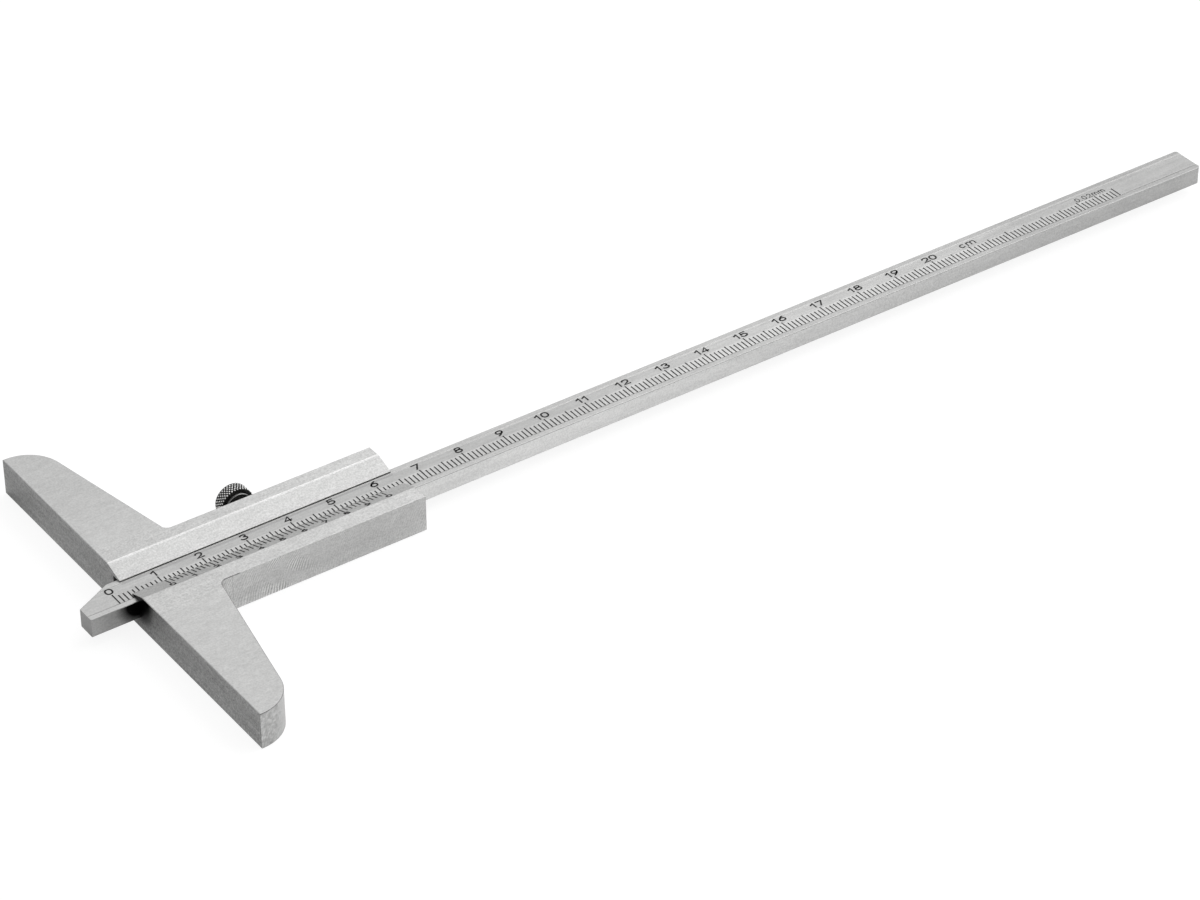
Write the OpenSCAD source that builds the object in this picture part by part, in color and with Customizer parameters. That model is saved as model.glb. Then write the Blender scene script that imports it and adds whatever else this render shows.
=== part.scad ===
// Vernier depth caliper, lying on its back face.
// X runs along the beam from its measuring tip to its far end, Y points to the lock screw's side
// and Z points up. The origin lies in the back face, under the beam's centreline and the vernier's zero.

/* [Frame] */
// Thickness of the frame from its back face to its top
frame_thickness = 8.2; // [7.5:0.1:9]
// Length of the measuring face across the beam
base_length = 97.6; // [92:0.2:110]
// How far the base's middle lies behind the beam's centreline
base_offset = 0.45; // [0:0.05:1]
// Depth of a wing at its outer end, before the corner is rounded
wing_end_depth = 7.4; // [7.2:0.1:9]
// Depth of a wing where it meets the arm
wing_root_depth = 14.8; // [13:0.1:18]
// Radius of the rounded corner at the end of a wing
wing_corner_r = 8.4; // [4:0.1:8.4]
// Radius of the inside corner between a wing and the arm
root_fillet_r = 1.5; // [1:0.1:3]
// Length of the frame along the beam, from the measuring face to the arm's end
arm_length = 61.7; // [61:0.1:75]
// Reach of the arm in front of the beam's centreline
arm_front = 9.6; // [8.5:0.1:12]
// Reach of the arm behind the beam's centreline
arm_back = 10.8; // [10:0.1:13]
// Chamfer on the outer edges of the frame
edge_chamfer = 0.12; // [0.1:0.02:0.4]

/* [Channel and lips] */
// Clearance over and under the beam in the channel
slide_clearance = 0.05; // [0.02:0.01:0.1]
// Clearance between the beam's front side and the channel
side_clearance = 0.05; // [0.02:0.01:0.1]
// Room behind the beam for the gib spring
gib_room = 1.6; // [1.4:0.1:2]
// Thickness of a lip at its edge over the beam
lip_edge = 0.15; // [0.1:0.05:0.3]
// Distance from the centreline to the front lip's edge
front_lip_edge = 1.55; // [1.2:0.05:2.4]
// Distance from the centreline to the top of the front bevel
front_bevel_top = 5.7; // [5:0.1:6.5]
// Distance from the centreline to the back lip's edge
back_lip_edge = 3.15; // [2.7:0.05:3.4]
// Distance from the centreline to the top of the back bevel
back_bevel_top = 7.6; // [7:0.1:9]

/* [Beam] */
// Width of the beam
beam_width = 8.2; // [7.5:0.1:9]
// Thickness of the beam over its two rails
beam_thickness = 4.1; // [3.5:0.1:4.5]
// Height of the channel's back wall under the beam
back_wall = 2.35; // [1.8:0.05:2.6]
// Length of the beam past the scale's last line
beam_tail_length = 21.8; // [10:0.1:40]
// Length of the slanting side at the measuring tip
tip_slant_length = 8.1; // [5:0.1:12]
// Width of the flat end of the measuring tip
tip_width = 4.25; // [3:0.05:6]
// Width of the rail on each side of the scale face
rail_width = 1.3; // [0.6:0.1:1.4]
// Depth of the scale face below the rails
scale_sink = 0.06; // [0.04:0.01:0.1]
// Width of the slope from a rail down to the scale face
rail_slope = 0.15; // [0.05:0.05:0.2]
// Chamfer on the long edges of the beam
beam_chamfer = 0.12; // [0.1:0.02:0.5]
// Chamfer on the upright edges at the far end
tail_chamfer = 0.5; // [0.2:0.1:1.5]

/* [Scales] */
// Depth that the caliper shows as it lies here
reading = 10.4; // [0:0.02:200]
// Distance from the measuring face to the vernier's zero line
zero_setback = 7.2; // [5:0.1:10]
// Length of the millimetre scale on the beam
scale_length = 250; // [200:10:250]
// Number of divisions on the vernier
vernier_divisions = 50; // [10:10:50]
// Length of the vernier on the frame
vernier_length = 49; // [9:10:49]
// Width of an engraved line on the beam
line_width = 0.18; // [0.12:0.02:0.24]
// Width of an engraved line on the vernier
vernier_line_width = 0.14; // [0.1:0.02:0.2]
// Depth of an engraved line
line_depth = 0.06; // [0.04:0.01:0.1]
// Distance from the beam's front edge to the near ends of its lines
line_inset = 1.5; // [1.45:0.05:2]
// Length of a millimetre line
line_short = 2.45; // [2:0.05:2.8]
// Length of a five millimetre line
line_middle = 2.95; // [2.5:0.05:3.2]
// Length of a centimetre line
line_long = 3.2; // [3:0.05:3.6]
// Length of a plain vernier line, seen from above
vernier_short = 1.5; // [1:0.1:2]
// Length of a numbered vernier line, seen from above
vernier_long = 2.1; // [1.8:0.1:2.6]

/* [Lock screw] */
// Distance from the measuring face to the screw's axis
screw_setback = 32.65; // [28:0.05:40]
// Radius of the screw's shank
shank_r = 1.5; // [1.2:0.1:1.8]
// Radial clearance of the shank in its hole
shank_clearance = 0.05; // [0.02:0.01:0.1]
// Chamfer at the outer end of the shank's hole
hole_chamfer = 0.3; // [0.1:0.1:0.6]
// Gap between the arm and the knob
knob_gap = 2.75; // [1.5:0.05:4]
// Radius of the knob over its knurl
knob_r = 3.7; // [3:0.1:4]
// Length of the knurled knob
knob_length = 2.8; // [2:0.1:5]
// Chamfer on both ends of the knob
knob_chamfer = 0.35; // [0.2:0.05:0.6]
// Radius of the collar on the knob's inner face
collar_r = 2.85; // [2:0.05:3]
// Height of that collar
collar_height = 0.4; // [0.2:0.1:0.8]
// Number of grooves around the knurl
knurl_count = 36; // [20:1:40]
// Number of rings along the knurl
knurl_rings = 4; // [2:1:6]
// Depth of the knurl's grooves along the knob
knurl_depth = 0.2; // [0.16:0.02:0.3]
// Depth of the knurl's rings
ring_depth = 0.14; // [0.08:0.01:0.15]
// Share of the knob's rim that the grooves along it take up
knurl_share = 0.8; // [0.6:0.05:0.9]

/* [Gib spring] */
// Thickness of the spring strip
gib_thickness = 0.5; // [0.3:0.1:0.8]
// Length of the spring strip
gib_length = 52; // [40:1:56]
// Height of the spring strip
gib_height = 3.6; // [3:0.1:3.9]
// Length of the flat that bears on the beam
gib_pad = 14; // [8:1:20]
// Length of the flat at each end that bears on the arm
gib_foot = 4; // [2:1:8]
// Gap left at each contact of the spring
gib_gap = 0.03; // [0.02:0.01:0.05]

/* [Hidden] */
$fn = 96;
// How far a cutting shape runs past the surface it cuts
past = 1;
// Small step by which a rounded edge differs from the straight one that it runs into
blend = 0.01;
face_x = -zero_setback;
arm_x = face_x + arm_length;
half_base = base_length / 2;
front_end = base_offset - half_base;
back_end = base_offset + half_base;
beam_front = -beam_width / 2;
beam_back = beam_width / 2;
beam_z0 = back_wall + slide_clearance;
beam_top = beam_z0 + beam_thickness;
scale_z = beam_top - scale_sink;
channel_front = beam_front - side_clearance;
channel_back = beam_back + gib_room;
channel_top = beam_top + slide_clearance;
lip_top = channel_top + lip_edge;
tip_x = face_x - reading;
main_zero_x = -reading;
tail_x = main_zero_x + scale_length + beam_tail_length;
vernier_step = vernier_length / vernier_divisions;
bevel_run = front_bevel_top - front_lip_edge;
bevel_angle = atan((frame_thickness - lip_top) / bevel_run);
screw_x = face_x + screw_setback;
screw_z = beam_z0 + beam_thickness / 2;
knob_y = arm_back + knob_gap;
screw_tip = beam_back + gib_thickness + 2 * gib_gap;
steel = [0.78, 0.78, 0.77];
bright_steel = [0.72, 0.72, 0.71];
dark_steel = [0.55, 0.55, 0.54];
bronze = [0.72, 0.52, 0.3];

// A wing's outline on one side: side is 1 for the back wing and -1 for the front one.
function side_y(side) = side > 0 ? back_end : front_end;
function arm_y(side) = side > 0 ? arm_back : -arm_front;
function wing_span(side) = abs(side_y(side) - arm_y(side));
function wing_angle(side) = atan((wing_root_depth - wing_end_depth) / wing_span(side));
function corner_tangent(side) = wing_corner_r * tan(45 - wing_angle(side) / 2);
function fillet_tangent(side) = root_fillet_r * tan(45 - wing_angle(side) / 2);
// Where the rounded corner touches the wing's end, where it touches the slanting edge, and its centre
function corner_on_end(side) =
    [face_x + wing_end_depth - corner_tangent(side), side_y(side)];
function corner_on_slant(side) =
    [face_x + wing_end_depth + corner_tangent(side) * sin(wing_angle(side)),
     side_y(side) - side * corner_tangent(side) * cos(wing_angle(side))];
function corner_centre(side) =
    [face_x + wing_end_depth - corner_tangent(side), side_y(side) - side * wing_corner_r];
// The same three points for the inside corner at the arm
function fillet_on_slant(side) =
    [face_x + wing_root_depth - fillet_tangent(side) * sin(wing_angle(side)),
     arm_y(side) + side * fillet_tangent(side) * cos(wing_angle(side))];
function fillet_on_arm(side) =
    [face_x + wing_root_depth + fillet_tangent(side), arm_y(side)];
function fillet_centre(side) =
    [face_x + wing_root_depth + fillet_tangent(side), arm_y(side) + side * root_fillet_r];

// Extrudes a Y-Z outline along X
module along_x(x0, length) {
    translate([x0, 0, 0]) rotate([90, 0, 90]) linear_extrude(height = length) children();
}

// Chamfers one straight top edge; the frame lies left of the way from a to b
module top_edge_cut(a, b, extra_a, extra_b) {
    run = norm(b - a);
    m = past;
    translate([a[0], a[1], 0]) rotate([0, 0, atan2(b[1] - a[1], b[0] - a[0])])
        along_x(-extra_a, run + extra_a + extra_b)
            polygon([[-m, frame_thickness - edge_chamfer - m],
                     [edge_chamfer + m, frame_thickness + m],
                     [-m, frame_thickness + m]]);
}

// Chamfers a straight edge at the top and at the back face
module edge_cut(a, b, extra_a, extra_b) {
    top_edge_cut(a, b, extra_a, extra_b);
    translate([0, 0, frame_thickness]) mirror([0, 0, 1]) top_edge_cut(a, b, extra_a, extra_b);
}

// Disc with both rims chamfered, as thick as the frame
module chamfered_disc(r) {
    rim = edge_chamfer - blend;
    translate([0, 0, rim]) cylinder(h = frame_thickness - 2 * rim, r = r);
    cylinder(h = rim, r1 = r - rim, r2 = r);
    translate([0, 0, frame_thickness - rim]) cylinder(h = rim, r1 = r, r2 = r - rim);
}

// Removes the square corner at the end of a wing and leaves the rounded one
module corner_cut(side) {
    reach = 1 + 3 * past / wing_corner_r;
    c = corner_centre(side);
    on_end = corner_on_end(side);
    on_slant = corner_on_slant(side);
    difference() {
        translate([0, 0, -past]) linear_extrude(height = frame_thickness + 2 * past)
            polygon([c, c + (on_end - c) * reach,
                     [face_x + wing_end_depth + wing_corner_r, side_y(side) + side * wing_corner_r],
                     c + (on_slant - c) * reach]);
        translate([c[0], c[1], 0]) chamfered_disc(wing_corner_r);
    }
}

// Hollows the round inside corner between a wing and the arm, with both rims chamfered
module root_fillet_cut(side) {
    f = fillet_centre(side);
    r = root_fillet_r - 3 * blend;
    rim = edge_chamfer + 5 * blend;
    translate([f[0], f[1], -past]) cylinder(h = frame_thickness + 2 * past, r = r);
    translate([f[0], f[1], frame_thickness - rim]) cylinder(h = rim + past, r1 = r, r2 = r + rim + past);
    translate([f[0], f[1], -past]) cylinder(h = rim + past, r1 = r + rim + past, r2 = r);
}

// The channel for the beam, with the window between the two bevelled lips over it
module channel_cut() {
    along_x(face_x - past, arm_length + 2 * past)
        polygon([[channel_front, back_wall],
                 [channel_back, back_wall],
                 [channel_back, channel_top],
                 [back_lip_edge, channel_top],
                 [back_lip_edge, lip_top],
                 [back_bevel_top, frame_thickness],
                 [back_bevel_top, frame_thickness + past],
                 [-front_bevel_top, frame_thickness + past],
                 [-front_bevel_top, frame_thickness],
                 [-front_lip_edge, lip_top],
                 [-front_lip_edge, channel_top],
                 [channel_front, channel_top]]);
}

// The screw's hole through the arm's back wall
module screw_hole() {
    hole_r = shank_r + shank_clearance;
    translate([screw_x, arm_back + past, screw_z]) rotate([90, 0, 0])
        cylinder(h = arm_back - channel_back + 2 * past, r = hole_r);
    translate([screw_x, arm_back, screw_z]) rotate([90, 0, 0])
        cylinder(h = hole_chamfer, r1 = hole_r + hole_chamfer, r2 = hole_r);
}

// Engraved vernier lines, square to the front bevel
module vernier_lines() {
    for (i = [0 : vernier_divisions]) {
        seen = i % 5 == 0 ? vernier_long : vernier_short;
        translate([i * vernier_step - vernier_line_width / 2, -front_lip_edge, lip_top])
            rotate([-bevel_angle, 0, 0])
                translate([0, -seen / cos(bevel_angle), -line_depth])
                    cube([vernier_line_width, seen / cos(bevel_angle) + past, line_depth + past]);
    }
}

// The frame's plan: base with two tapered wings, and the arm
module frame_block() {
    linear_extrude(height = frame_thickness)
        polygon([[face_x, back_end], [face_x, front_end],
                 [face_x + wing_end_depth, front_end],
                 fillet_on_slant(-1), fillet_on_arm(-1),
                 [arm_x, -arm_front], [arm_x, arm_back],
                 fillet_on_arm(1), fillet_on_slant(1),
                 [face_x + wing_end_depth, back_end]]);
}

// The block with rounded wing ends
module rounded_block() {
    difference() {
        frame_block();
        corner_cut(1);
        corner_cut(-1);
    }
}

// The rounded block with its straight edges chamfered
module chamfered_block() {
    difference() {
        rounded_block();
        edge_cut([face_x, back_end], [face_x, front_end], past, past);
        edge_cut([face_x, front_end], corner_on_end(-1), past, past);
        edge_cut(corner_on_slant(-1), fillet_on_slant(-1), past, 0);
        edge_cut(fillet_on_arm(-1), [arm_x, -arm_front], 0, past);
        edge_cut([arm_x, -arm_front], [arm_x, arm_back], past, past);
        edge_cut([arm_x, arm_back], fillet_on_arm(1), past, 0);
        edge_cut(fillet_on_slant(1), corner_on_slant(1), 0, past);
        edge_cut(corner_on_end(1), [face_x, back_end], past, past);
    }
}

// The same block with its two round inside corners
module outer_block() {
    difference() {
        chamfered_block();
        root_fillet_cut(1);
        root_fillet_cut(-1);
    }
}

// One machined piece: base, wings, arm, channel, lips and the vernier on the front bevel
module frame() {
    color(steel) difference() {
        outer_block();
        channel_cut();
        screw_hole();
        vernier_lines();
    }
}

// Engraved millimetre lines on the beam's scale face
module main_lines() {
    for (i = [0 : scale_length]) {
        line = i % 10 == 0 ? line_long : (i % 5 == 0 ? line_middle : line_short);
        translate([main_zero_x + i - line_width / 2, beam_front + line_inset, scale_z - line_depth])
            cube([line_width, line, line_depth + past]);
    }
}

// The graduated measuring rod with its slanted tip
module beam() {
    c = beam_chamfer;
    rail_front = beam_front + rail_width;
    rail_back = beam_back - rail_width;
    color(bright_steel) difference() {
        intersection() {
            along_x(tip_x, tail_x - tip_x)
                polygon([[beam_front + c, beam_z0], [beam_back - c, beam_z0],
                         [beam_back, beam_z0 + c], [beam_back, beam_top - c],
                         [beam_back - c, beam_top], [rail_back, beam_top],
                         [rail_back - rail_slope, scale_z], [rail_front + rail_slope, scale_z],
                         [rail_front, beam_top], [beam_front + c, beam_top],
                         [beam_front, beam_top - c], [beam_front, beam_z0 + c]]);
            translate([0, 0, -past]) linear_extrude(height = frame_thickness + 2 * past)
                polygon([[tip_x, beam_front - past], [tail_x - tail_chamfer, beam_front - past],
                         [tail_x - tail_chamfer, beam_front], [tail_x, beam_front + tail_chamfer],
                         [tail_x, beam_back - tail_chamfer], [tail_x - tail_chamfer, beam_back],
                         [tail_x - tail_chamfer, beam_back + past],
                         [tip_x + tip_slant_length, beam_back + past],
                         [tip_x + tip_slant_length, beam_back],
                         [tip_x, beam_front + tip_width]]);
        }
        main_lines();
    }
}

// Spacing of the knurl's rings, and the part of the knob's outline that they cut, one V for each
function ring_pitch() = (knob_length - 2 * knob_chamfer) / knurl_rings;
function ring_middle(i) = knob_y + knob_chamfer + (i + 0.5) * ring_pitch();
function knurl_profile() = [for (i = [0 : knurl_rings - 1]) each
    [[knob_r, ring_middle(i) - ring_pitch() / 4],
     [knob_r - ring_depth, ring_middle(i)],
     [knob_r, ring_middle(i) + ring_pitch() / 4]]];

// V grooves along the knob
module knurl_cut() {
    mouth = 2 * knob_r * tan(knurl_share * 180 / knurl_count);
    for (i = [0 : knurl_count - 1]) rotate([0, 0, i * 360 / knurl_count])
        translate([0, 0, knob_y - past]) linear_extrude(height = knob_length + 2 * past)
            polygon([[knob_r - knurl_depth, 0],
                     [knob_r + knurl_depth, mouth],
                     [knob_r + knurl_depth, -mouth]]);
}

// The lock screw, turned in one piece with its knurled knob
module lock_screw() {
    tip_c = shank_r / 3;
    color(dark_steel) translate([screw_x, 0, screw_z]) rotate([-90, 0, 0]) difference() {
        rotate_extrude()
            polygon(concat([[0, screw_tip], [shank_r - tip_c, screw_tip],
                            [shank_r, screw_tip + tip_c],
                            [shank_r, knob_y - collar_height],
                            [collar_r - collar_height / 2, knob_y - collar_height],
                            [collar_r, knob_y - collar_height / 2], [collar_r, knob_y],
                            [knob_r - knob_chamfer, knob_y], [knob_r, knob_y + knob_chamfer]],
                           knurl_profile(),
                           [[knob_r, knob_y + knob_length - knob_chamfer],
                            [knob_r - knob_chamfer, knob_y + knob_length],
                            [0, knob_y + knob_length]]));
        knurl_cut();
    }
}

// The bowed strip that bears on the beam in its middle and on the arm's wall at both ends
module gib_spring() {
    x0 = screw_x - gib_length / 2;
    x1 = screw_x + gib_length / 2;
    p0 = screw_x - gib_pad / 2;
    p1 = screw_x + gib_pad / 2;
    near = beam_back + gib_gap;
    far = channel_back - gib_gap - gib_thickness;
    t = gib_thickness;
    color(bronze) translate([0, 0, screw_z - gib_height / 2]) linear_extrude(height = gib_height)
        polygon([[x0, far], [x0 + gib_foot, far], [p0, near], [p1, near], [x1 - gib_foot, far],
                 [x1, far], [x1, far + t], [x1 - gib_foot, far + t], [p1, near + t],
                 [p0, near + t], [x0 + gib_foot, far + t], [x0, far + t]]);
}

frame();
beam();
lock_screw();
gib_spring();
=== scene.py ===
import math

import bpy
from mathutils import Matrix, Vector


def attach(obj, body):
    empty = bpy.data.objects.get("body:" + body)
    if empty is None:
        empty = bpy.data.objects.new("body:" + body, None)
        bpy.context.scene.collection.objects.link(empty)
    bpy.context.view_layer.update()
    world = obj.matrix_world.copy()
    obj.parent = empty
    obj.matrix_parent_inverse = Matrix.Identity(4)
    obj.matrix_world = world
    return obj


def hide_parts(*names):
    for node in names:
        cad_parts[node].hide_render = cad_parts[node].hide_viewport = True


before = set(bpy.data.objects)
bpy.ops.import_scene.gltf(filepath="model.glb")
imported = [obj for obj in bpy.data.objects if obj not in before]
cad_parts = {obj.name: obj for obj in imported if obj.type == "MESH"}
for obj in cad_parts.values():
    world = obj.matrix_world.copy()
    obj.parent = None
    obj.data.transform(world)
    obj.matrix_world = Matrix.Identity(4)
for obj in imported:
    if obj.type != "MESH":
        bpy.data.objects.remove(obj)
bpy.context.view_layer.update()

# Sizes shared with the part's source, in millimetres. x runs along the beam, y to the lock
# screw's side and z up; the origin lies under the vernier's zero line.
MM = 0.001
READING = 10.4
FACE_X, ARM_END_X = -7.2, 54.5
TOP = 8.2
LIP_TOP = 6.7
LIP_EDGE_Y, BEVEL_TOP_Y = -1.55, -5.7
BACK_LIP_Y, BACK_BEVEL_Y = 3.15, 7.6
SCALE_Z = 6.44
SCALE_HALF = 2.62
BEAM_FRONT = -4.1
LINE_INSET = 1.5
LINE_DEPTH = 0.06
LINE_SHORT, LINE_MIDDLE, LINE_LONG = 2.45, 2.95, 3.2
LINE_COUNT, VERNIER_COUNT = 251, 51
VERNIER_STEP = 0.98
BEVEL_ANGLE = math.atan2(TOP - LIP_TOP, LIP_EDGE_Y - BEVEL_TOP_Y)
SCREW_X, SCREW_Z = 25.45, 4.45
SCREW_TIP = 4.66
SHANK_R = 1.5
KNOB_Y, KNOB_R, KNOB_LENGTH = 13.55, 3.7, 2.8
COLLAR_R, COLLAR_HEIGHT = 2.85, 0.4
COLLAR_Y = KNOB_Y - COLLAR_HEIGHT
NECK_R = 1.28
THREAD_PITCH = 0.5
THREAD_END = COLLAR_Y - 0.25

# The paint, in millimetres: wider than the engraving, as the photo shows it
LINE_INK, VERNIER_INK = 0.29, 0.3
VERNIER_SHORT, VERNIER_LONG = 2.15, 2.5
LINE_PAINT = (0.002 - LINE_DEPTH, 0.004)  # lowest and highest level over the surface
SIGN_PAINT = (-0.02, 0.008)
SCALE_SIGNS = {"width": 1.78, "height": 1.9, "stroke": 0.38, "gap": 0.12}
CM_SIGNS = {"width": 1.6, "height": 1.8, "stroke": 0.3, "gap": 0.38}
RESOLUTION_SIGNS = {"width": 1.05, "height": 1.5, "stroke": 0.2, "gap": 0.3}
VERNIER_SIGNS = {"width": 1.35, "height": 1.45, "stroke": 0.39, "gap": 0.2}
SCALE_SIGNS_Y, CM_Y, RESOLUTION_Y, VERNIER_SIGNS_Y = 0.82, 0.75, 0.42, -4.25
CM_AT, RESOLUTION_AT = 210.45, 244.4  # places on the beam's own scale
TWO_DIGIT_SHIFT = 0.25

# The camera, fitted to the photo's own millimetre lines
PHOTO_WIDTH = 1200.0
FOCAL_PIXELS = 4271.14
SENSOR = 36.0
HALF_PIXEL = 0.000417
CAMERA_PLACE = (-0.304481, -0.580583, 0.504323)
CAMERA_AXES = ((0.817378, -0.576095, -0.002588),
               (0.338416, 0.476507, 0.811428),
               (-0.466227, -0.664120, 0.584446))

# The studio
WHITE = (1.0, 1.0, 1.0, 1.0)
FLOOR_HALF = 3.0
FLOOR_Z = -0.00002
FLOOR_GLOW = 1.15
SEEN_SHARE, CAMERA_SHARE = 0.15, 0.6  # how much of the floor's white is glow
WORLD_LOW, WORLD_HIGH = 0.32, 0.56
LAMP_TARGET = (0.08, 0.0, 0.0)


def make_camera():
    """The camera that the photo's own millimetre lines give."""
    place = Matrix([Vector(axis) for axis in CAMERA_AXES]).transposed().to_4x4()
    place.translation = Vector(CAMERA_PLACE)
    data = bpy.data.cameras.new("camera")
    data.sensor_fit = "HORIZONTAL"
    data.sensor_width = SENSOR
    data.lens = FOCAL_PIXELS / PHOTO_WIDTH * SENSOR
    data.shift_x, data.shift_y = -HALF_PIXEL, HALF_PIXEL
    data.clip_start = 0.01
    data.clip_end = 20.0
    camera = bpy.data.objects.new("camera", data)
    camera.matrix_world = place
    bpy.context.scene.collection.objects.link(camera)
    bpy.context.scene.camera = camera


class Graph:
    """A small wrapper that keeps the node code of a material or the world short."""

    def __init__(self, owner, out="OutputMaterial"):
        owner.use_nodes = True
        self.owner = owner
        self.tree = owner.node_tree
        self.tree.nodes.clear()
        self.out = self.tree.nodes.new("ShaderNode" + out)

    def set(self, socket, value):
        if isinstance(value, bpy.types.NodeSocket):
            self.tree.links.new(value, socket)
        else:
            socket.default_value = value

    def node(self, kind, inputs=None, **attrs):
        n = self.tree.nodes.new("ShaderNode" + kind)
        for key, value in attrs.items():
            setattr(n, key, value)
        for key, value in (inputs or {}).items():
            self.set(n.inputs[key], value)
        return n

    def math(self, operation, a, b=0.0):
        return self.node("Math", {0: a, 1: b}, operation=operation).outputs[0]

    def plus(self, a, b):
        return self.math("ADD", a, b)

    def times(self, first, *more):
        for value in more:
            first = self.math("MULTIPLY", first, value)
        return first

    def length(self, a, b):
        """The distance of the point (a, b) from 0."""
        return self.math("SQRT", self.plus(self.times(a, a), self.times(b, b)))

    def mix(self, factor, a, b):
        n = self.node("Mix", {0: factor}, data_type="RGBA")
        self.set(n.inputs[6], a)
        self.set(n.inputs[7], b)
        return n.outputs[2]

    def span(self, value, low, high, to_low=0.0, to_high=1.0):
        """Goes evenly from to_low to to_high as value goes from low to high."""
        return self.node("MapRange", {0: value, 1: low, 2: high, 3: to_low, 4: to_high}).outputs[0]

    def fall(self, value, low, high):
        """1 up to low, 0 from high on."""
        return self.span(value, low, high, 1.0, 0.0)

    def band(self, value, low, high, soft=0.03):
        """1 where value lies between low and high, with soft ends."""
        return self.times(self.span(value, low - soft, low + soft),
                          self.fall(value, high - soft, high + soft))

    def spread(self, noise, middle, amount):
        """Noise turned into middle minus amount to middle plus amount."""
        return self.span(noise, 0.3, 0.7, middle - amount, middle + amount)

    def object_place(self):
        return self.node("TexCoord").outputs["Object"]

    def noise(self, place, scale, detail):
        return self.node("TexNoise", {"Vector": place, "Scale": scale, "Detail": detail}).outputs[0]

    def brushed(self, scale, stretch, detail=3.0):
        """Noise drawn out along one axis, so that it reads as grinding lines."""
        mapped = self.node("Mapping", {"Vector": self.object_place(), "Scale": stretch}).outputs[0]
        return self.node("TexNoise", {"Vector": mapped, "Scale": scale, "Detail": detail,
                                      "Roughness": 0.6}).outputs[0]

    def bump(self, strength, distance, height, **inputs):
        return self.node("Bump", {"Strength": strength, "Distance": distance,
                                  "Height": height, **inputs}).outputs[0]

    def finish(self, shader):
        self.tree.links.new(shader.outputs[0], self.out.inputs["Surface"])
        return self.owner


class Steel(Graph):
    """Ground or milled steel whose tone changes from side to side, partly as painted light and
    shade.
    """

    def __init__(self, name, tone, roughness, stretch, mottle=0.02, edge_wear_and_shade=0.15):
        super().__init__(bpy.data.materials.new(name))
        self.place = self.object_place()
        in_mm = self.node("VectorMath", {0: self.place, "Scale": 1.0 / MM}, operation="SCALE")
        self.xyz = self.node("SeparateXYZ", {0: in_mm.outputs[0]}).outputs
        plain = self.node("NewGeometry").outputs["Normal"]
        local = self.node("VectorTransform", {0: plain}, vector_type="NORMAL",
                          convert_from="WORLD", convert_to="OBJECT").outputs[0]
        self.normal = self.node("SeparateXYZ", {0: local}).outputs
        self.edge = self.node("Bevel", {"Radius": 0.00015}, samples=6).outputs[0]
        bend = self.node("VectorMath", {0: self.edge, 1: plain}, operation="DOT_PRODUCT")
        # The edge amount lightens edges where it is above 0, partly wear and partly painted
        # highlight, and darkens them where it is below 0, as painted shade along the edges.
        edge_wear_and_shade_tone = self.span(bend.outputs["Value"], 0.88, 0.99, edge_wear_and_shade, 0.0)
        self.lines = self.brushed(1900.0, stretch)
        blotch = self.brushed(520.0, tuple(0.5 + 0.5 * s for s in stretch))
        self.grain = self.noise(self.place, 3000.0, 1.0)
        self.tone = self.spread(blotch, tone, mottle)
        self.tone = self.plus(self.tone, self.spread(self.grain, 0.0, 2.4 * mottle))
        self.tone = self.plus(self.tone, self.spread(self.lines, 0.0, 2.0 * mottle))
        self.tone = self.plus(self.tone, edge_wear_and_shade_tone)
        self.rough = self.spread(self.lines, roughness, 0.05)
        self.height = self.plus(self.times(self.lines, 0.6), self.times(self.grain, 0.5))

    def facing(self, axis, sign):
        """1 on the sides that face along an axis."""
        return self.span(self.times(self.normal[axis], sign), 0.75, 0.95)

    def gain(self, gain, *masks):
        """Multiplies the tone by gain where all the masks are 1."""
        self.tone = self.times(self.tone, self.span(self.times(*masks), 0.0, 1.0, 1.0, gain))

    def roughen(self, amount, mask):
        """Adds to the roughness where the mask is 1."""
        self.rough = self.plus(self.rough, self.times(mask, amount))

    def vary(self, amount, noise, mask):
        """Adds noise of the given amount to the tone where the mask is 1."""
        self.tone = self.plus(self.tone, self.times(self.spread(noise, 0.0, amount), mask))

    def spot(self, gain, core, clear, a, b, mask):
        """Painted shade around a = b = 0, where an inside corner lies in shade."""
        self.gain(gain, self.fall(self.length(a, b), core, clear), mask)

    def done(self, bump):
        blue = self.times(self.tone, 0.992)
        colour = self.node("CombineColor", {0: self.tone, 1: self.tone, 2: blue}).outputs[0]
        normal = self.bump(bump, 0.00002, self.height, Normal=self.edge)
        return self.finish(self.node("BsdfPrincipled", {"Base Color": colour, "Metallic": 1.0,
                                                        "Roughness": self.rough, "Normal": normal}))


def milling_arcs(s):
    """Height of the arcs that a face mill leaves on an upright side, strong only in patches."""
    radius, below, pitch = 17.0, 3.0, 0.62
    x, y, z = s.xyz
    rise = s.plus(z, below)
    chord = s.math("SQRT", s.math("SUBTRACT", radius * radius, s.times(rise, rise)))
    phase = s.times(s.plus(x, chord), 2 * math.pi / pitch)
    waver = s.noise(s.place, 300.0, 2.0)
    wave = s.math("SINE", s.plus(phase, s.times(waver, 11.0)))
    patch = s.noise(s.place, 190.0, 1.0)
    return s.times(wave, s.span(patch, 0.44, 0.6, 0.05, 1.0))


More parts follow.
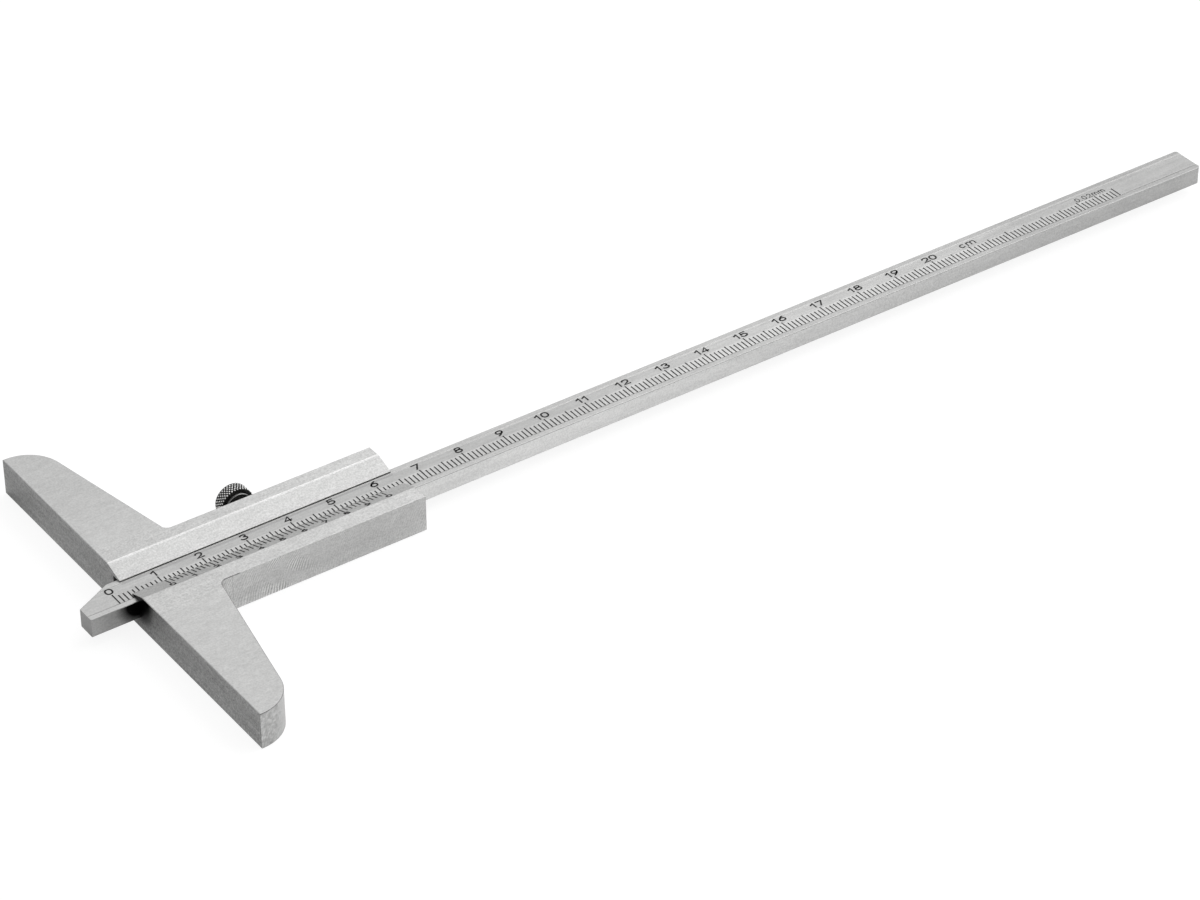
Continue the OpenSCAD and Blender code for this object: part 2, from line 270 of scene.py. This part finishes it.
def frame_finish():
    """The frame: ground top, milled sides, measuring face ground along its length."""
    s = Steel("frame_ground_steel", 0.60, 0.42, (0.2, 1.0, 1.0), edge_wear_and_shade=-0.12)
    x, y, z = s.xyz
    off_centre = s.math("ABSOLUTE", y)

    # Painted light and shade on the flat tops: lighter towards the far end, darker towards the wing
    # ends.
    flat = s.span(s.normal[2], 0.96, 0.985)
    s.gain(0.975, flat)
    s.gain(1.1, flat, s.span(x, 5.0, 55.0))
    s.gain(0.94, flat, s.span(off_centre, 12.0, 30.0))

    upward = s.span(s.normal[2], 0.5, 0.7)
    front_bevel = s.times(s.band(y, BEVEL_TOP_Y, LIP_EDGE_Y), upward)
    # Painted shade and light on the vernier's bevel: darker overall, lighter towards the far end.
    s.gain(0.9, front_bevel)
    s.roughen(0.22, front_bevel)
    s.gain(1.08, front_bevel, s.span(x, 15.0, 40.0))
    back_bevel = s.times(s.band(y, BACK_LIP_Y, BACK_BEVEL_Y), upward)
    # Painted shade on the back bevel, darker towards the far end.
    s.gain(0.82, back_bevel)
    s.gain(0.93, back_bevel, s.span(x, 10.0, 50.0))
    # A painted highlight along the crease where the back bevel meets the flat top
    s.gain(1.2, upward, s.band(y, BACK_BEVEL_Y - 0.25, BACK_BEVEL_Y))
    s.gain(1.42, upward, s.band(y, BACK_BEVEL_Y, BACK_BEVEL_Y + 0.25))

    off_arm = s.span(off_centre, 11.5, 13.5)
    off_side = s.math("MAXIMUM", off_arm, s.fall(x, 11.8, 12.4))
    # Painted shade on the chamfered rims that do not face along -X: dark lines along the edges.
    shaded_rim = s.times(s.band(s.normal[2], 0.62, 0.8, 0.02), off_side)
    s.gain(0.35, shaded_rim, s.span(s.normal[0], -0.6, -0.4))
    near = s.fall(off_arm, 0.0, 1.0)
    s.vary(0.028, s.grain, near)
    s.vary(0.01, s.lines, near)

    face = s.facing(0, -1.0)
    # Painted shade on the measuring face: darker overall as it faces away from the lamps, darker on
    # the front wing, lighter towards the bottom and the front end, darker towards the back end. The
    # grinding lines and grain are its own.
    s.gain(0.58, face)
    s.gain(0.92, face, s.fall(y, -6.0, -4.0))
    s.roughen(-0.08, face)
    s.vary(0.05, s.brushed(1500.0, (1.0, 0.05, 1.0)), face)
    s.vary(0.075, s.grain, face)
    s.gain(1.3, face, s.fall(z, 1.0, 5.5))
    s.gain(1.08, face, s.fall(y, -46.0, -20.0))
    s.gain(0.66, face, s.span(y, 34.0, 46.0))
    # Painted shade in the inside corner at the mouth, where the beam's front side leaves the frame
    in_corner = s.plus(y, -BEAM_FRONT), s.plus(z, -6.6)
    s.spot(0.01, 3.6, 5.8, *in_corner, face)
    s.spot(0.82, 4.0, 13.0, *in_corner, face)

    front = s.facing(1, -1.0)
    # Painted shadow: the back lip's edge made near black, as the gap under it lies in shade.
    s.gain(0.22, front, s.band(y, BACK_LIP_Y - 0.15, BACK_LIP_Y + 0.15))
    arm_side = s.times(front, s.band(y, -20.0, -9.0))
    # Painted light and shade on the arm's front side: darker towards the far end, lighter towards
    # the bottom.
    s.gain(1.015, arm_side)
    s.gain(0.92, arm_side, s.span(x, 15.0, 50.0))
    s.gain(1.22, arm_side, s.fall(z, 0.3, 3.0))
    # Painted shade: a darker line on the front sides where the root's fillet ends
    s.gain(0.85, front, s.band(x, 10.2, 10.4))

    side = s.span(s.math("ABSOLUTE", s.normal[1]), 0.75, 0.95)
    arcs = s.times(milling_arcs(s), side)
    s.height = s.plus(s.height, s.times(arcs, 1.6))
    near_corner = s.times(s.band(x, 18.0, 26.0, 2.0), 0.15)
    strength = s.plus(s.span(x, 22.0, 34.0, 0.085, 0.035), near_corner)
    s.tone = s.plus(s.tone, s.times(arcs, strength))
    s.vary(0.02, s.brushed(700.0, (1.0, 1.0, 0.18), 2.0), side)

    wing_end = s.times(front, s.fall(y, -30.0, -20.0))
    s.gain(0.93, wing_end)
    s.vary(0.12, s.noise(s.place, 1100.0, 4.0), wing_end)
    return s.done(0.22)


def beam_finish():
    """The beam: brushed along its length, rails a little brighter than the scale face."""
    s = Steel("beam_brushed_steel", 0.60, 0.36, (0.04, 1.0, 1.0), mottle=0.018, edge_wear_and_shade=0.0)
    x, y, z = s.xyz
    top = s.facing(2, 1.0)
    s.gain(0.87, top)
    s.gain(1.04, top, s.span(s.math("ABSOLUTE", y), SCALE_HALF, 2.7))
    chamfers = s.band(s.normal[2], 0.3, 0.99, 0.005)
    # Painted shade on the beam's chamfers, damping their highlights.
    s.gain(0.62, chamfers)
    # Painted shade: the top darker towards the far end.
    s.gain(0.88, top, s.span(x, 150.0, 240.0))
    # Painted shade: the end faces turned away from the lamps are darker.
    s.gain(0.5, s.facing(0, -1.0))

    front = s.facing(1, -1.0)
    # Painted light and shade on the front side: lighter overall, darker towards the far end and
    # towards the tip.
    s.gain(1.32, front)
    s.gain(0.6, front, s.span(x, 100.0, 250.0))
    s.gain(0.61, front, s.fall(x, -6.0, 20.0))
    s.vary(0.018, s.brushed(600.0, (0.15, 1.0, 1.0)), front)
    s.vary(0.015, s.grain, front)

    scale_face = s.times(s.band(y, -SCALE_HALF, SCALE_HALF), top)
    # Painted light and shade along the top: the scale face lighter past the middle, the top darker
    # near the far end, the scale face darker at the tip.
    s.gain(1.16, scale_face, s.span(x, 90.0, 130.0))
    s.gain(0.91, top, s.span(x, 200.0, 215.0))
    s.gain(0.95, scale_face, s.span(x, -5.0, 5.0))
    ticks_end = LINE_COUNT - 1 - READING
    s.gain(1.16, top, s.band(y, -SCALE_HALF, 0.2), s.band(x, 0.0, ticks_end, 2.0))

    # Painted shade that the frame casts on the beam, kept in the frame's place so that it stays
    # with the frame as the beam slides: the dark inside corner at the mouth and the shadow under
    # the back lip, lighter again on the rail beyond the scale face
    in_frame = s.node("TexCoord", object=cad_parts["frame"]).outputs["Object"]
    along = s.times(s.node("SeparateXYZ", {0: in_frame}).outputs[0], 1.0 / MM)
    ahead = s.math("MINIMUM", s.plus(along, -FACE_X), 0.0)
    s.spot(0.01, 2.6, 5.2, ahead, s.plus(z, -6.0), s.times(front, s.fall(along, 0.0, 1.0)))
    under_lip = s.times(s.band(along, FACE_X, ARM_END_X), s.span(y, 1.9, 2.4))
    s.gain(0.8, under_lip, top)
    s.gain(1.15, under_lip, s.span(y, 2.55, 2.7))
    return s.done(0.3)


def screw_finish():
    """The lock screw: turned steel, with painted shade in the knurl's grooves, a painted highlight
    on its crests and painted shade on the collar's ring.
    """
    s = Steel("screw_turned_steel", 0.58, 0.32, (1.0, 0.3, 1.0))
    x, y, z = s.xyz
    radius = s.length(s.plus(x, -SCREW_X), s.plus(z, -SCREW_Z))
    # Painted shade in the knurl's grooves, then a painted highlight on its crests and painted shade
    # on the collar's ring.
    s.gain(0.04, s.fall(radius, KNOB_R - 0.11, KNOB_R - 0.02), s.span(radius, 3.3, 3.4))
    s.gain(1.4, s.span(radius, KNOB_R - 0.03, KNOB_R - 0.01))
    s.gain(0.5, s.band(radius, 2.6, 3.0))
    return s.done(0.15)


def dark_finish():
    """Painted shade: near-black steel on the knob's inner face and the collar's side, which lie in
    shade.
    """
    s = Steel("screw_face_painted_shade", 0.03, 0.5, (1.0, 1.0, 1.0), mottle=0.006, edge_wear_and_shade=0.0)
    return s.done(0.1)


def paint_finish():
    """Matt black filling in the engraved marks, a little uneven."""
    g = Graph(bpy.data.materials.new("mark_paint"))
    fleck = g.noise(g.object_place(), 5200.0, 3.0)
    dark, light = ((v, v, v * 0.992, 1.0) for v in (0.012, 0.042))
    colour = g.mix(g.span(fleck, 0.35, 0.75), dark, light)
    return g.finish(g.node("BsdfPrincipled", {"Base Color": colour, "Roughness": 0.62,
                                              "Specular IOR Level": 0.2,
                                              "Normal": g.bump(0.3, 0.00001, fleck)}))


def bronze_finish():
    """Rolled bronze strip."""
    g = Graph(bpy.data.materials.new("gib_bronze"))
    lines = g.brushed(2400.0, (0.05, 1.0, 1.0))
    colour = g.mix(g.span(lines, 0.3, 0.7), (0.62, 0.42, 0.22, 1.0), (0.72, 0.52, 0.30, 1.0))
    return g.finish(g.node("BsdfPrincipled", {"Base Color": colour, "Metallic": 1.0,
                                              "Roughness": g.spread(lines, 0.34, 0.06),
                                              "Normal": g.bump(0.2, 0.00002, lines)}))


def new_piece(name, verts, faces, material, body):
    """Makes a piece from points in millimetres, riding on a CAD body."""
    mesh = bpy.data.meshes.new(name)
    mesh.from_pydata([tuple(c * MM for c in v) for v in verts], [], faces)
    mesh.validate()
    mesh.update()
    piece = bpy.data.objects.new(name, mesh)
    bpy.context.scene.collection.objects.link(piece)
    mesh.materials.append(material)
    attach(piece, body)
    return piece


def arc(cx, cy, rx, ry, start, end, steps=14):
    """Points of an elliptic arc, with the angles in degrees."""
    angles = [math.radians(start + (end - start) * i / steps) for i in range(steps + 1)]
    return [(cx + rx * math.cos(a), cy + ry * math.sin(a)) for a in angles]


def loop(cx, cy, rx, ry, power=2.3, steps=28):
    """A closed, slightly squared oval."""
    points = []
    for i in range(steps):
        a = 2 * math.pi * i / steps
        c, s = math.cos(a), math.sin(a)
        points.append((cx + rx * math.copysign(abs(c) ** (2 / power), c),
                       cy + ry * math.copysign(abs(s) ** (2 / power), s)))
    return points


# Each sign is a list of (closed, points) strokes in a box one unit wide and one unit high
SIX = [(False, [(0.86, 1.0), (0.52, 0.84), (0.2, 0.6), (0.04, 0.36)]),
       (True, loop(0.5, 0.31, 0.48, 0.31))]
GLYPHS = {
    "0": [(True, loop(0.5, 0.5, 0.5, 0.5))],
    "1": [(False, [(0.0, 0.72), (0.5, 0.9), (0.66, 1.0), (0.66, 0.0)])],
    "2": [(False, arc(0.5, 0.71, 0.46, 0.29, 165, -15) + [(0.78, 0.4), (0.0, 0.0), (1.0, 0.0)])],
    "3": [(False, arc(0.5, 0.77, 0.4, 0.23, 160, -80) + arc(0.5, 0.28, 0.5, 0.28, 75, -160))],
    "4": [(False, [(1.0, 0.24), (0.0, 0.24), (0.76, 1.0), (0.76, 0.0)])],
    "5": [(False, [(0.9, 1.0), (0.16, 1.0), (0.08, 0.52)]
           + arc(0.48, 0.31, 0.52, 0.31, 125, -155))],
    "6": SIX,
    "7": [(False, [(0.0, 1.0), (1.0, 1.0), (0.36, 0.0)])],
    "8": [(True, loop(0.5, 0.765, 0.4, 0.235)), (True, loop(0.5, 0.27, 0.5, 0.27))],
    "9": [(closed, [(1.0 - x, 1.0 - y) for x, y in points]) for closed, points in SIX],
    ".": [(False, [(0.4, 0.02), (0.6, 0.02)])],
    "c": [(False, arc(0.5, 0.5, 0.5, 0.5, 48, 312, 20))],
    "m": [(False, [(0.0, 0.0), (0.0, 1.0)]),
          (False, [(0.0, 0.6)] + arc(0.25, 0.68, 0.25, 0.32, 160, 0, 10) + [(0.5, 0.0)]),
          (False, [(0.5, 0.6)] + arc(0.75, 0.68, 0.25, 0.32, 160, 0, 10) + [(1.0, 0.0)])],
}
GLYPH_WIDTHS = {"1": 0.78, ".": 0.3, "m": 1.45, "c": 0.9}
SMALL_LETTERS, SMALL_HEIGHT = "cm", 0.78


def on_scale(x, y, rise):
    """A point on the beam's scale face."""
    return x, y, SCALE_Z + rise


def on_bevel(x, run, rise):
    """A point on the vernier's bevel; run is the way down from the lip's edge, below 0."""
    c, s = math.cos(BEVEL_ANGLE), math.sin(BEVEL_ANGLE)
    return x, LIP_EDGE_Y + run * c + rise * s, LIP_TOP - run * s + rise * c


class Marks:
    """Painted lines and signs on one face, gathered into one mesh."""

    def __init__(self, place):
        self.verts, self.faces, self.place = [], [], place

    def line(self, x, ink, low_y, high_y):
        """One tick, as a flat box."""
        first = len(self.verts)
        low_x, high_x = x - ink / 2, x + ink / 2
        for level in LINE_PAINT:
            for px, py in ((low_x, low_y), (high_x, low_y), (high_x, high_y), (low_x, high_y)):
                self.verts.append(self.place(px, py, level))
        for face in ((3, 2, 1, 0), (4, 5, 6, 7), (0, 1, 5, 4),
                     (1, 2, 6, 5), (2, 3, 7, 6), (3, 0, 4, 7)):
            self.faces.append(tuple(first + i for i in face))

    def ribbon(self, points, closed, half):
        """A flat bar of constant width along a stroke, with mitred corners."""
        n = len(points)
        first = len(self.verts)
        for i, (x, y) in enumerate(points):
            dirs = []
            if closed or i > 0:
                before = points[i - 1]
                dirs.append(Vector((x - before[0], y - before[1])).normalized())
            if closed or i < n - 1:
                after = points[(i + 1) % n]
                dirs.append(Vector((after[0] - x, after[1] - y)).normalized())
            d = sum(dirs, Vector((0, 0)))
            d = d.normalized() if d.length > 1e-6 else dirs[0]
            side = Vector((-d.y, d.x))
            reach = half / max(side.dot(Vector((-dirs[0].y, dirs[0].x))), 0.55)
            shift = Vector((0, 0))
            if not closed and i in (0, n - 1):
                shift = d * half * (0.9 if i else -0.9)
            for s in (-1, 1):
                px, py = x + shift.x + side.x * reach * s, y + shift.y + side.y * reach * s
                for level in SIGN_PAINT:
                    self.verts.append(self.place(px, py, level))
        for i in range(n if closed else n - 1):
            a, b = first + 4 * i, first + 4 * ((i + 1) % n)
            self.faces += [(a + 1, b + 1, b + 3, a + 3), (a, a + 2, b + 2, b),
                           (a, b, b + 1, a + 1), (a + 2, a + 3, b + 3, b + 2)]
        if not closed:
            e = first + 4 * (n - 1)
            self.faces += [(first, first + 1, first + 3, first + 2), (e, e + 2, e + 3, e + 1)]

    def text(self, text, centre, base, width, height, stroke, gap):
        """Signs side by side, centred on x = centre and standing on y = base."""
        widths = [width * GLYPH_WIDTHS.get(c, 1.0) for c in text]
        x = centre - (sum(widths) + gap * (len(text) - 1)) / 2
        for c, wide in zip(text, widths):
            tall = height * (SMALL_HEIGHT if c in SMALL_LETTERS else 1.0)
            for closed, points in GLYPHS[c]:
                real = [(x + stroke / 2 + px * (wide - stroke),
                         base + stroke / 2 + py * (tall - stroke)) for px, py in points]
                self.ribbon(real, closed, stroke / 2)
            x += wide + gap

    def piece(self, name, material, body, slot):
        new_piece(name, self.verts, self.faces, material, body)


def beam_marks(black):
    lines = Marks(on_scale)
    start = BEAM_FRONT + LINE_INSET
    for i in range(LINE_COUNT):
        length = LINE_LONG if i % 10 == 0 else LINE_MIDDLE if i % 5 == 0 else LINE_SHORT
        lines.line(i - READING, LINE_INK, start, start + length)
    lines.piece("beam_line_paint", black, "beam", "beam_steel")

    numerals = Marks(on_scale)
    for cm in range(21):
        shift = 0.0 if cm < 10 else TWO_DIGIT_SHIFT
        numerals.text(str(cm), cm * 10 - READING + shift, SCALE_SIGNS_Y, **SCALE_SIGNS)
    numerals.piece("beam_numerals", black, "beam", "beam_steel")

    units = Marks(on_scale)
    units.text("cm", CM_AT - READING, CM_Y, **CM_SIGNS)
    units.text("0.02mm", RESOLUTION_AT - READING, RESOLUTION_Y, **RESOLUTION_SIGNS)
    units.piece("beam_unit_marks", black, "beam", "beam_steel")


def vernier_marks(black):
    lines = Marks(on_bevel)
    for i in range(VERNIER_COUNT):
        seen = VERNIER_LONG if i % 5 == 0 else VERNIER_SHORT
        lines.line(i * VERNIER_STEP, VERNIER_INK, -seen / math.cos(BEVEL_ANGLE), -0.02)
    lines.piece("vernier_line_paint", black, "frame", "frame_steel")

    numerals = Marks(on_bevel)
    for i in range(0, VERNIER_COUNT, 5):
        numerals.text(str(i // 5 % 10), i * VERNIER_STEP, VERNIER_SIGNS_Y, **VERNIER_SIGNS)
    numerals.piece("vernier_numerals", black, "frame", "frame_steel")


def thread_radius(y, angle):
    """The cut thread, with a tapered lead at the tip and a runout at the collar."""
    depth, lead_length, lead_drop, runout_length = 0.27, 0.5, 0.35, 0.3
    cut = abs((y / THREAD_PITCH - angle / (2 * math.pi)) % 1.0 * 2 - 1)
    lead = min(1.0, (y - SCREW_TIP) / lead_length)
    runout = min(1.0, max(0.0, (THREAD_END - y) / runout_length))
    return SHANK_R - 0.001 - depth * cut * runout - lead_drop * (1 - lead)


def knurl_radius(y, angle):
    """The crossed knurl, which fades out at both ends of the knob into a small chamfer."""
    teeth, pitch, depth, steepness, fade_share, chamfer = 36, 0.95, 0.24, 1.9, 0.04, 0.14
    from_end = min(y - KNOB_Y, KNOB_Y + KNOB_LENGTH - y)
    around, along = angle / (2 * math.pi) * teeth, (y - KNOB_Y) / pitch
    cut = 0.0
    for way in (around + along, around - along):
        cut += max(0.0, 1 - abs(way % 1.0 * 2 - 1) * steepness)
    fade = min(1.0, from_end / KNOB_LENGTH / fade_share)
    return KNOB_R - depth * min(cut, 1.0) * fade - max(0.0, chamfer - from_end)


def screw_rings():
    """The screw from tip to knob: (y, radius), where a radius may depend on y and angle."""
    rings_per_pitch = 10
    steps = int((THREAD_END - SCREW_TIP) / THREAD_PITCH * rings_per_pitch)
    knob_steps = 44
    back = KNOB_Y + KNOB_LENGTH
    rings = [(SCREW_TIP, 1.0)]
    rings += [(SCREW_TIP + (THREAD_END - SCREW_TIP) * i / steps, thread_radius)
              for i in range(1, steps + 1)]
    rings += [(COLLAR_Y - 0.2, NECK_R), (COLLAR_Y, NECK_R), (COLLAR_Y, COLLAR_R - 0.22),
              (COLLAR_Y + 0.06, COLLAR_R - 0.08), (COLLAR_Y + 0.18, COLLAR_R),
              (KNOB_Y, COLLAR_R), (KNOB_Y, COLLAR_R + 0.12), (KNOB_Y, KNOB_R - 0.15)]
    rings += [(KNOB_Y + KNOB_LENGTH * i / knob_steps, knurl_radius) for i in range(knob_steps + 1)]
    rings += [(back, KNOB_R - 0.3), (back, KNOB_R - 0.6),
              (back - 0.12, KNOB_R - 0.72), (back - 0.12, 0.6)]
    return rings


def lock_screw(metal, dark):
    """The screw as turned: cut thread, collar, and a knob with a crossed knurl."""
    across = 288
    rings = screw_rings()
    verts, faces = [], []
    for y, radius in rings:
        for k in range(across):
            a = 2 * math.pi * k / across
            r = radius(y, a) if callable(radius) else radius
            verts.append((SCREW_X + r * math.cos(a), y, SCREW_Z + r * math.sin(a)))
    for i in range(len(rings) - 1):
        for k in range(across):
            a, b = i * across + k, i * across + (k + 1) % across
            faces.append((a, a + across, b + across, b))
    tip, end = len(verts), len(verts) + 1
    verts += [(SCREW_X, rings[0][0], SCREW_Z), (SCREW_X, rings[-1][0], SCREW_Z)]
    last = (len(rings) - 1) * across
    for k in range(across):
        faces.append((tip, k, (k + 1) % across))
        faces.append((end, last + (k + 1) % across, last + k))
    piece = new_piece("lock_screw_turned", verts, faces, metal, "lock_screw")
    piece.data.materials.append(dark)
    # The knob's inner face and the collar's side take the near-black painted-shade material.
    for polygon in piece.data.polygons:
        x, y, z = (c / MM for c in polygon.center)
        r = math.hypot(x - SCREW_X, z - SCREW_Z)
        on_knob = KNOB_Y - 0.02 < y < KNOB_Y + 0.16 and r > COLLAR_R
        on_collar = COLLAR_Y - 0.3 < y < COLLAR_Y + 0.05 and r < COLLAR_R - 0.1
        if on_knob or on_collar:
            polygon.material_index = 1
    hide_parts("lock_screw")


def make_floor():
    g = Graph(bpy.data.materials.new("floor_white"))
    cloud = g.noise(g.object_place(), 3.0, 2.0)
    white = g.mix(g.span(cloud, 0.3, 0.7), (0.80, 0.80, 0.80, 1.0), (0.82, 0.82, 0.82, 1.0))
    matt = g.node("BsdfDiffuse", {"Color": white}).outputs[0]
    glow = g.node("Emission", {"Color": WHITE, "Strength": FLOOR_GLOW}).outputs[0]
    ray = g.node("LightPath").outputs
    seen = g.math("MAXIMUM", ray["Is Camera Ray"], ray["Is Glossy Ray"])
    seen = g.math("MAXIMUM", seen, ray["Is Transmission Ray"])
    share = g.plus(g.times(seen, SEEN_SHARE), g.times(ray["Is Camera Ray"], CAMERA_SHARE))
    material = g.finish(g.node("MixShader", {0: share, 1: matt, 2: glow}))
    mesh = bpy.data.meshes.new("floor")
    corners = ((-1, -1), (1, -1), (1, 1), (-1, 1))
    mesh.from_pydata([(x * FLOOR_HALF, y * FLOOR_HALF, 0) for x, y in corners], [], [(0, 1, 2, 3)])
    mesh.materials.append(material)
    floor = bpy.data.objects.new("floor", mesh)
    floor.location = (0, 0, FLOOR_Z)
    bpy.context.scene.collection.objects.link(floor)


def make_world():
    """White where the camera sees it; to the object a soft sky, brighter overhead."""
    world = bpy.data.worlds.new("studio")
    bpy.context.scene.world = world
    g = Graph(world, "OutputWorld")
    rise = g.node("SeparateXYZ", {0: g.node("TexCoord").outputs["Generated"]}).outputs[2]
    sky = g.node("Background", {"Color": WHITE,
                                "Strength": g.span(rise, 0.0, 0.5, WORLD_LOW, WORLD_HIGH)})
    seen = g.node("Background", {"Color": WHITE, "Strength": 1.0})
    by_camera = g.node("LightPath").outputs["Is Camera Ray"]
    g.finish(g.node("MixShader", {0: by_camera, 1: sky.outputs[0], 2: seen.outputs[0]}))


def area_lamp(name, place, size, power):
    data = bpy.data.lights.new(name, "AREA")
    data.shape = "RECTANGLE"
    data.size = data.size_y = size
    data.energy = power
    lamp = bpy.data.objects.new(name, data)
    lamp.location = place
    way = Vector(LAMP_TARGET) - Vector(place)
    lamp.rotation_euler = way.to_track_quat("-Z", "Y").to_euler()
    bpy.context.scene.collection.objects.link(lamp)


make_camera()
screw_steel = screw_finish()
black = paint_finish()

for node, material in (("frame", frame_finish()), ("beam", beam_finish()),
                       ("lock_screw", screw_steel), ("gib_spring", bronze_finish())):
    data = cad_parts[node].data
    data.materials.clear()
    data.materials.append(material)

beam_marks(black)
vernier_marks(black)
lock_screw(screw_steel, dark_finish())
make_floor()
make_world()
area_lamp("overhead_softbox", (0.45, 0.45, 1.05), 1.6, 4.0)
area_lamp("right_key", (1.25, -0.1, 0.85), 1.8, 15.0)

bpy.context.scene.view_settings.view_transform = "Standard"
